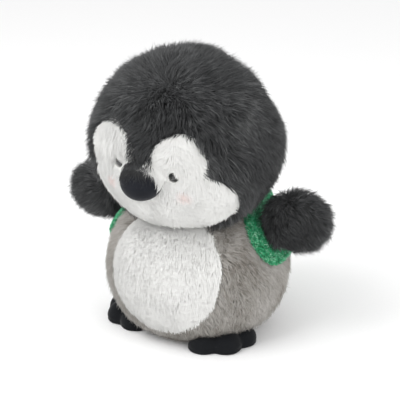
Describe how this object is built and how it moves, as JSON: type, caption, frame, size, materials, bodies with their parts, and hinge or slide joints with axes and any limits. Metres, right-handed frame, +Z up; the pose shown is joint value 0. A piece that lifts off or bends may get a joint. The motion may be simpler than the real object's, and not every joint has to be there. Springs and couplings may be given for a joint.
{
  "type": "plush penguin",
  "caption": "Stuffed penguin toy with a big furry head, white face and belly, sewn flippers that flap, three-toed feet and a small green glitter backpack.",
  "frame": {"origin": "middle of the flat base panel, where the toy rests on a table", "axes": "+Z up, the penguin faces -Y, +X is its left side and the line through both flipper tips"},
  "size_m": [0.258, 0.219, 0.2485],
  "materials": {
    "charcoal_pile": "long dark grey faux-fur pile",
    "white_pile": "short dense white plush pile",
    "grey_pile": "warm grey tip-dyed plush pile",
    "base_cloth": "short grey plush",
    "black_velboa": "very short matte black pile",
    "eye_plastic": "polished black moulding",
    "washer_plastic": "natural moulded plastic",
    "pellet_cotton": "plain cotton bag",
    "label_ribbon": "blank satin ribbon",
    "green_glitter_cloth": "green looped cloth with foil glitter",
    "pack_lining": "plain green felt",
    "polyester_fill": "loose polyester fibre"
  },
  "bodies": {
    "root": {"back_panel": "grey_pile", "base_panel": "base_cloth", "beak_lower": "black_velboa", "beak_stuffing": "polyester_fill", "beak_upper": "black_velboa", "belly_panel": "white_pile", "body_side_left": "grey_pile", "body_side_right": "grey_pile", "body_stuffing": "polyester_fill", "care_label": "label_ribbon", "crown_left": "charcoal_pile", "crown_right": "charcoal_pile", "eye_left": "eye_plastic", "eye_right": "eye_plastic", "eye_washer_left": "washer_plastic", "eye_washer_right": "washer_plastic", "face_left": "white_pile", "face_right": "white_pile", "foot_left_sole": "black_velboa", "foot_left_stuffing": "polyester_fill", "foot_left_top": "black_velboa", "foot_right_sole": "black_velboa", "foot_right_stuffing": "polyester_fill", "foot_right_top": "black_velboa", "forehead_panel": "charcoal_pile", "grab_loop": "green_glitter_cloth", "head_back_left": "charcoal_pile", "head_back_right": "charcoal_pile", "head_stuffing": "polyester_fill", "pack_back_panel": "pack_lining", "pack_filling": "polyester_fill", "pack_pocket": "green_glitter_cloth", "pack_shell": "green_glitter_cloth", "pellet_bag": "pellet_cotton", "strap_left": "green_glitter_cloth", "strap_right": "green_glitter_cloth"},
    "flipper_left": {"flipper_left_front": "charcoal_pile", "flipper_left_rear": "charcoal_pile", "flipper_left_stuffing": "polyester_fill"},
    "flipper_right": {"flipper_right_front": "charcoal_pile", "flipper_right_rear": "charcoal_pile", "flipper_right_stuffing": "polyester_fill"}
  },
  "joints": [
    {"name": "flipper_left_flap", "type": "hinge", "parent": "root", "child": "flipper_left", "pos_m": [0.07561, -0.006, 0.0935], "axis": [0, 1, 0], "range_deg": [-18, 45], "stiffness_Nm_per_rad": 0.03, "springref_deg": -2.12},
    {"name": "flipper_right_flap", "type": "hinge", "parent": "root", "child": "flipper_right", "pos_m": [-0.07561, -0.006, 0.0935], "axis": [0, -1, 0], "range_deg": [-18, 45], "stiffness_Nm_per_rad": 0.03, "springref_deg": -2.12}
  ]
}
